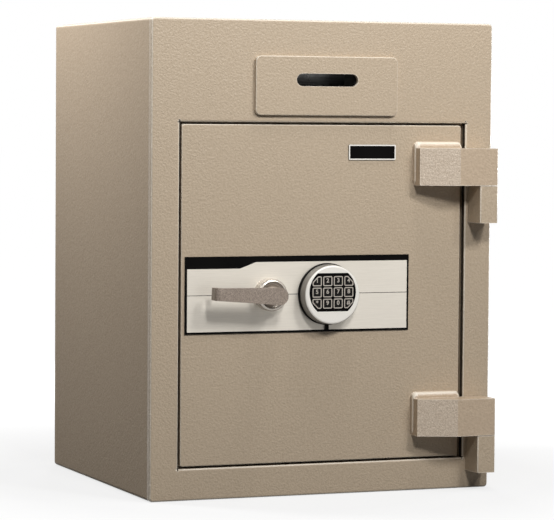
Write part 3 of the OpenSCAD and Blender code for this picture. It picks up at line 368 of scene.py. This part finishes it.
def make_materials():
    """The materials of the record's slots, those in OWN_MATERIAL and the print on the keys."""
    beige = srgb(185, 168, 146), srgb(172, 155, 133)
    return {
        "beige_paint": new_material(
            "beige_hammertone", hammertone(*beige),
            Specular_IOR_Level=0.3),
        # The frame, with painted shade in its door gap
        "beige_frame_gap_shade": new_material(
            "beige_frame_gap_shade", hammertone(*beige, gap_shade=srgb(40, 33, 27)),
            Specular_IOR_Level=0.3),
        # The hinge straps, with painted glints on their sloped faces
        "beige_strap_glints": new_material(
            "beige_strap_glints",
            hammertone(srgb(185, 165, 141), srgb(172, 152, 129),
                       cast=(srgb(204, 188, 169), srgb(168, 150, 130))),
            Specular_IOR_Level=0.6),
        "beige_casing": new_material(
            "beige_casing", hammertone(srgb(184, 167, 146), srgb(172, 154, 133), 0.6, 0.55, 0.65),
            Specular_IOR_Level=0.06),
        "liner_paint": new_material(
            "liner_paint",
            moulded(srgb(128, 126, 121), srgb(112, 110, 106), 700, 0.3 * MM, 0.5, 0.65)),
        "barrier_fill": new_material(
            "barrier_fill",
            moulded(srgb(168, 165, 158), srgb(140, 137, 131), 260, 1 * MM, 0.85, 0.95)),
        "plain_steel": new_material(
            "plain_steel",
            worn_metal(srgb(150, 150, 150), srgb(128, 128, 130), 0.32, 0.5, 900, 0.1 * MM),
            Metallic=0.9),
        "bright_steel": new_material(
            "bright_steel",
            brushed(srgb(178, 178, 176), srgb(118, 118, 120), (30, 900, 900), 0.2, 0.34, 0.1 * MM),
            Metallic=1.0),
        "seal_rubber": new_material(
            "seal_rubber", moulded(srgb(32, 31, 30), srgb(22, 22, 21), 1200, 0.2 * MM, 0.7, 0.85)),
        "black_plastic": new_material(
            "black_plastic", moulded(srgb(12, 11, 10), srgb(7, 6, 6), 1500, 0.1 * MM, 0.4, 0.55),
            Specular_IOR_Level=0.03),
        "brushed_facing": new_material(
            "brushed_facing",
            brushed(srgb(228, 221, 209), srgb(216, 209, 197), (40, 3000, 3000), 0.3, 0.42,
                    0.03 * MM),
            Metallic=0.25, Specular_IOR_Level=0.2),
        "lock_alloy": new_material(
            "lock_alloy",
            worn_metal(srgb(170, 170, 168), srgb(150, 150, 148), 0.4, 0.55, 500, 0.2 * MM),
            Metallic=0.85),
        # Shells in this material get painted shade on their turned sides
        "satin_silver": new_material(
            "satin_silver", shell_with_painted_side_shade(srgb(236, 232, 224), srgb(138, 134, 127)),
            Metallic=0.1, Specular_IOR_Level=0.3),
        "board_green": new_material(
            "board_green", moulded(srgb(38, 92, 52), srgb(26, 72, 40), 300, 0.1 * MM, 0.3, 0.45)),
        "cast_nickel": new_material(
            "cast_nickel",
            worn_metal(srgb(170, 156, 144), srgb(108, 96, 85), 0.3, 0.42, 900, 0.3 * MM),
            Metallic=0.3, Specular_IOR_Level=0.3),
        "polished_nickel": new_material(
            "polished_nickel",
            rose_with_painted_dish_shade(srgb(232, 226, 216), srgb(128, 116, 104), ROSE_MIDDLE, ROSE_DISH_R),
            Metallic=0.6),
        "brass": new_material(
            "brass", worn_metal(srgb(196, 164, 96), srgb(176, 144, 82), 0.25, 0.4, 900, 0.1 * MM),
            Metallic=1.0),
        "key_plastic": new_material(
            "key_plastic", moulded(srgb(24, 22, 20), srgb(14, 13, 12), 1800, 0.08 * MM, 0.45, 0.6),
            Specular_IOR_Level=0.08),
        "key_print": new_material(
            "key_print",
            moulded(srgb(196, 188, 178), srgb(178, 170, 160), 1500, 0.05 * MM, 0.5, 0.65),
            Specular_IOR_Level=0.1),
    }


# Nodes whose surface differs from the rest of their slot
OWN_MATERIAL = {
    "front_frame": "beige_frame_gap_shade",
    "outer_casing": "beige_casing",
    "back_panel": "beige_casing",
    "handle_rose": "polished_nickel",
    "upper_hinge_strap": "beige_strap_glints",
    "lower_hinge_strap": "beige_strap_glints",
}


def dress_nodes(materials):
    """Gives each CAD node the detailed material of its slot, or its own."""
    for name, node in nodes.items():
        for slot in node.material_slots:
            slot.material = materials[OWN_MATERIAL.get(name, slot.material.name.split(".")[0])]


# How far each node's sharp edges are rounded
SOFTENED = {
    "upper_hinge_strap": 0.8 * MM,
    "lower_hinge_strap": 0.8 * MM,
    "upper_hinge_knuckle": 0.8 * MM,
    "lower_hinge_knuckle": 0.8 * MM,
    "front_frame": 1.2 * MM,
    "door_plate": 1.2 * MM,
    "outer_casing": 1.2 * MM,
    "slot_plate": 0.6 * MM,
    "handle_lever": 1.2 * MM,
}
SOFT_SEGMENTS = 3
WELD_GAP = 0.01 * MM
# An edge that turns by less than this isn't sharp
SHARP_ANGLE = math.radians(35)


def soften_edges():
    """Rounds the sharp edges of the nodes that show most, with modifiers alone."""
    for name, width in SOFTENED.items():
        weld = nodes[name].modifiers.new("weld", "WELD")
        weld.merge_threshold = WELD_GAP
        bevel = nodes[name].modifiers.new("bevel", "BEVEL")
        bevel.width = width
        bevel.segments = SOFT_SEGMENTS
        bevel.use_clamp_overlap = True
        bevel.limit_method = "ANGLE"
        bevel.angle_limit = SHARP_ANGLE


# Small pieces

KEY_LEGENDS = "12345678*90#"
KEY_COLUMNS = 4
KEY_LIP = 0.5 * MM
KEY_ROUND = 2 * MM
KEY_RIM_W = 1.3 * MM
# The corner keys by row and column, and the corner that is cut off: 0 is the lower left one,
# and they count counter-clockwise
CUT_CORNER = {(0, 0): 3, (0, 3): 2, (2, 0): 0, (2, 3): 1}
# Share of a corner key's side that is cut off
CORNER_KEY_CUT = 0.6
LEGEND_H = 8 * MM
LEGEND_BOLD = 0.15 * MM
# How far a legend is lifted to stand in the middle of its key
LEGEND_LIFT = 0.8 * MM
PRINT_RAISE = 0.15 * MM

NAME_RIM_IN = 0.1 * MM
NAME_RIM_ROUND = 1.8 * MM
NAME_RIM_W = 1.7 * MM
NAME_RIM_RAISE = 0.2 * MM

# Least corner radius of a band, and the share of its height that its edges are eased by
BAND_LEAST_R = 0.2 * MM
BAND_EASE = 0.2
CORNER_STEPS = 5


def inset(corners, distance):
    """A convex outline moved in by distance: each corner slides along its bisector."""
    moved = []
    for i, corner in enumerate(corners):
        a = (corners[i - 1] - corner).normalized()
        b = (corners[(i + 1) % len(corners)] - corner).normalized()
        moved.append(corner + (a + b).normalized() * distance / math.sin(a.angle(b) / 2))
    return moved


def rounded(corners, radius):
    """Points of a convex outline, given counter-clockwise, with its corners rounded."""
    points = []
    for i, corner in enumerate(corners):
        a = (corners[i - 1] - corner).normalized()
        b = (corners[(i + 1) % len(corners)] - corner).normalized()
        half = a.angle(b) / 2
        centre = corner + (a + b).normalized() * radius / math.sin(half)
        start = corner + a * radius / math.tan(half) - centre
        for k in range(CORNER_STEPS + 1):
            turn = Matrix.Rotation((math.pi - 2 * half) * k / CORNER_STEPS, 2)
            points.append(centre + turn @ start)
    return points


def rectangle(low, high):
    """The front outline of a box: its X and Z, counter-clockwise from the lower left."""
    return [Vector((x, z)) for x, z in
            ((low.x, low.z), (high.x, low.z), (high.x, high.z), (low.x, high.z))]


def add_piece(name, mesh, material, body):
    piece = bpy.data.objects.new(name, mesh)
    bpy.context.scene.collection.objects.link(piece)
    piece.data.materials.append(material)
    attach(piece, body)
    return piece


def band(name, corners, radius, width, face_y, raise_by, material, body):
    """A raised band, of the given width, along the inside of an outline on a face towards -Y."""
    inner_radius = max(radius - width, BAND_LEAST_R)
    ease = BAND_EASE * raise_by
    outer = rounded(corners, radius)
    inner = rounded(inset(corners, width), inner_radius)
    outer_top = rounded(inset(corners, ease), radius)
    inner_top = rounded(inset(corners, width - ease), inner_radius)
    front, back = face_y - raise_by, face_y + raise_by
    loops = [(outer, back), (outer, front + ease), (outer_top, front),
             (inner_top, front), (inner, front + ease), (inner, back)]
    mesh = bpy.data.meshes.new(name)
    bm = bmesh.new()
    rings = [[bm.verts.new((p.x, y, p.y)) for p in points] for points, y in loops]
    for ring, following in zip(rings, rings[1:] + rings[:1]):
        for i in range(len(ring)):
            j = (i + 1) % len(ring)
            bm.faces.new((ring[i], ring[j], following[j], following[i]))
    bmesh.ops.recalc_face_normals(bm, faces=bm.faces)
    bm.to_mesh(mesh)
    bm.free()
    add_piece(name, mesh, material, body)


def key_corners(n):
    """Outline of a key's face; the corner keys are cut back along a slope."""
    low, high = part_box("key_%d" % n)
    corners = inset(rectangle(low, high), KEY_LIP)
    cut = CUT_CORNER.get(divmod(n - 1, KEY_COLUMNS))
    if cut is not None:
        corner = corners[cut]
        before = CORNER_KEY_CUT * (corners[cut - 1] - corner)
        after = CORNER_KEY_CUT * (corners[(cut + 1) % len(corners)] - corner)
        corners[cut:cut + 1] = [corner + before, corner + after]
    return corners


def make_key_print(materials):
    """A light rim and a plain number, star or hash on each key."""
    ink = materials["key_print"]
    for n, legend in enumerate(KEY_LEGENDS, 1):
        node = "key_%d" % n
        face_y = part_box(node)[0].y
        corners = key_corners(n)
        band(node + "_rim", corners, KEY_ROUND, KEY_RIM_W, face_y, PRINT_RAISE,
             ink, node)
        curve = bpy.data.curves.new(node + "_number", "FONT")
        curve.body = legend
        curve.size = LEGEND_H
        curve.offset = LEGEND_BOLD
        curve.extrude = PRINT_RAISE
        curve.align_x = "CENTER"
        curve.align_y = "CENTER"
        number = add_piece(node + "_number", curve, ink, node)
        middle = sum(corners, Vector((0, 0))) / len(corners)
        number.location = (middle.x, face_y, middle.y + LEGEND_LIFT)
        number.rotation_euler = (math.pi / 2, 0, 0)


def make_name_rim(materials):
    """The bright rim round the blank name plate."""
    low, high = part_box("name_plate")
    outline = inset(rectangle(low, high), NAME_RIM_IN)
    band("name_plate_rim", outline, NAME_RIM_ROUND, NAME_RIM_W, low.y, NAME_RIM_RAISE,
         materials["satin_silver"], "door")


# Studio

FLOOR_HALF = 30.0
# The floor lies this far under the part, so that the two don't share a plane
FLOOR_DROP = 0.5 * MM
FLOOR_SHADE = 0.16
# The floor's own glow near the part, low enough to keep the shadow, and the distances from the
# middle over which it grows to white
GLOW_NEAR = 0.75
GLOW_FROM, GLOW_TO = 0.4, 1.1

LAMP_TARGET = Vector((0.0, -0.2, 0.35))
# Each square lamp's name, place, side and power in watts
LAMPS = [
    ("front_top", (0.52, -1.56, 1.52), 0.26, 13.8),
    ("front_left", (-0.20, -1.70, 1.36), 0.25, 16.4),
    ("front_right", (0.93, -1.58, 1.47), 0.2, 5.0),
    ("overhead", (0.10, -0.42, 1.50), 0.2, 4.0),
    ("side_back", (-0.73, 0.31, 1.15), 0.2, 9.0),
    ("side_front", (-0.73, -0.33, 0.87), 0.2, 0.8),
    # These two are lower than the part's top, so they don't glance off it
    ("back", (0.50, 1.80, 0.42), 0.4, 22.0),
    ("right", (1.90, 0.60, 0.42), 0.4, 20.0),
]


def background_rays(g):
    """1 for rays that see the background itself: straight, in a reflection or through glass."""
    path = g.add("ShaderNodeLightPath")
    seen = g.math("MAXIMUM", path.outputs["Is Camera Ray"], path.outputs["Is Glossy Ray"])
    return g.math("MAXIMUM", seen, path.outputs["Is Transmission Ray"])


def make_world():
    """A background that shows white and lights nothing."""
    world = bpy.data.worlds.new("studio")
    bpy.context.scene.world = world
    world.use_nodes = True
    g = Graph(world.node_tree)
    background = world.node_tree.nodes["Background"]
    g.put(background, "Color", (1, 1, 1, 1))
    g.put(background, "Strength", background_rays(g))


def make_floor():
    """A pale floor that shows white, with the object's shadow on it."""
    corners = [(x * FLOOR_HALF, y * FLOOR_HALF, 0) for x, y in ((-1, -1), (1, -1), (1, 1), (-1, 1))]
    mesh = bpy.data.meshes.new("floor")
    mesh.from_pydata(corners, [], [(0, 1, 2, 3)])
    floor = bpy.data.objects.new("floor", mesh)
    bpy.context.scene.collection.objects.link(floor)
    floor.location.z = -FLOOR_DROP
    material = bpy.data.materials.new("floor")
    material.use_nodes = True
    tree = material.node_tree
    tree.nodes.clear()
    g = Graph(tree)
    shade = g.add("ShaderNodeBsdfDiffuse", Color=(FLOOR_SHADE, FLOOR_SHADE, FLOOR_SHADE, 1))
    away = g.vector_math("LENGTH", g.add("ShaderNodeTexCoord").outputs["Object"])
    glow = g.add("ShaderNodeEmission", Color=(1, 1, 1, 1),
                 Strength=g.spread(away, GLOW_FROM, GLOW_TO, GLOW_NEAR, 1))
    seen = g.add("ShaderNodeAddShader")
    g.put(seen, 0, shade.outputs[0])
    g.put(seen, 1, glow.outputs[0])
    choice = g.add("ShaderNodeMixShader")
    for place, value in enumerate((background_rays(g), shade.outputs[0], seen.outputs[0])):
        g.put(choice, place, value)
    g.add("ShaderNodeOutputMaterial", Surface=choice.outputs[0])
    mesh.materials.append(material)


def make_lamps():
    for name, place, side, power in LAMPS:
        light = bpy.data.lights.new(name, "AREA")
        light.shape = "SQUARE"
        light.size = side
        light.energy = power
        lamp = bpy.data.objects.new(name, light)
        bpy.context.scene.collection.objects.link(lamp)
        lamp.location = place
        lamp.rotation_euler = (LAMP_TARGET - Vector(place)).to_track_quat("-Z", "Y").to_euler()


make_camera()
materials = make_materials()
dress_nodes(materials)
make_key_print(materials)
make_name_rim(materials)
soften_edges()
make_world()
make_floor()
make_lamps()

bpy.context.scene.view_settings.view_transform = "Standard"
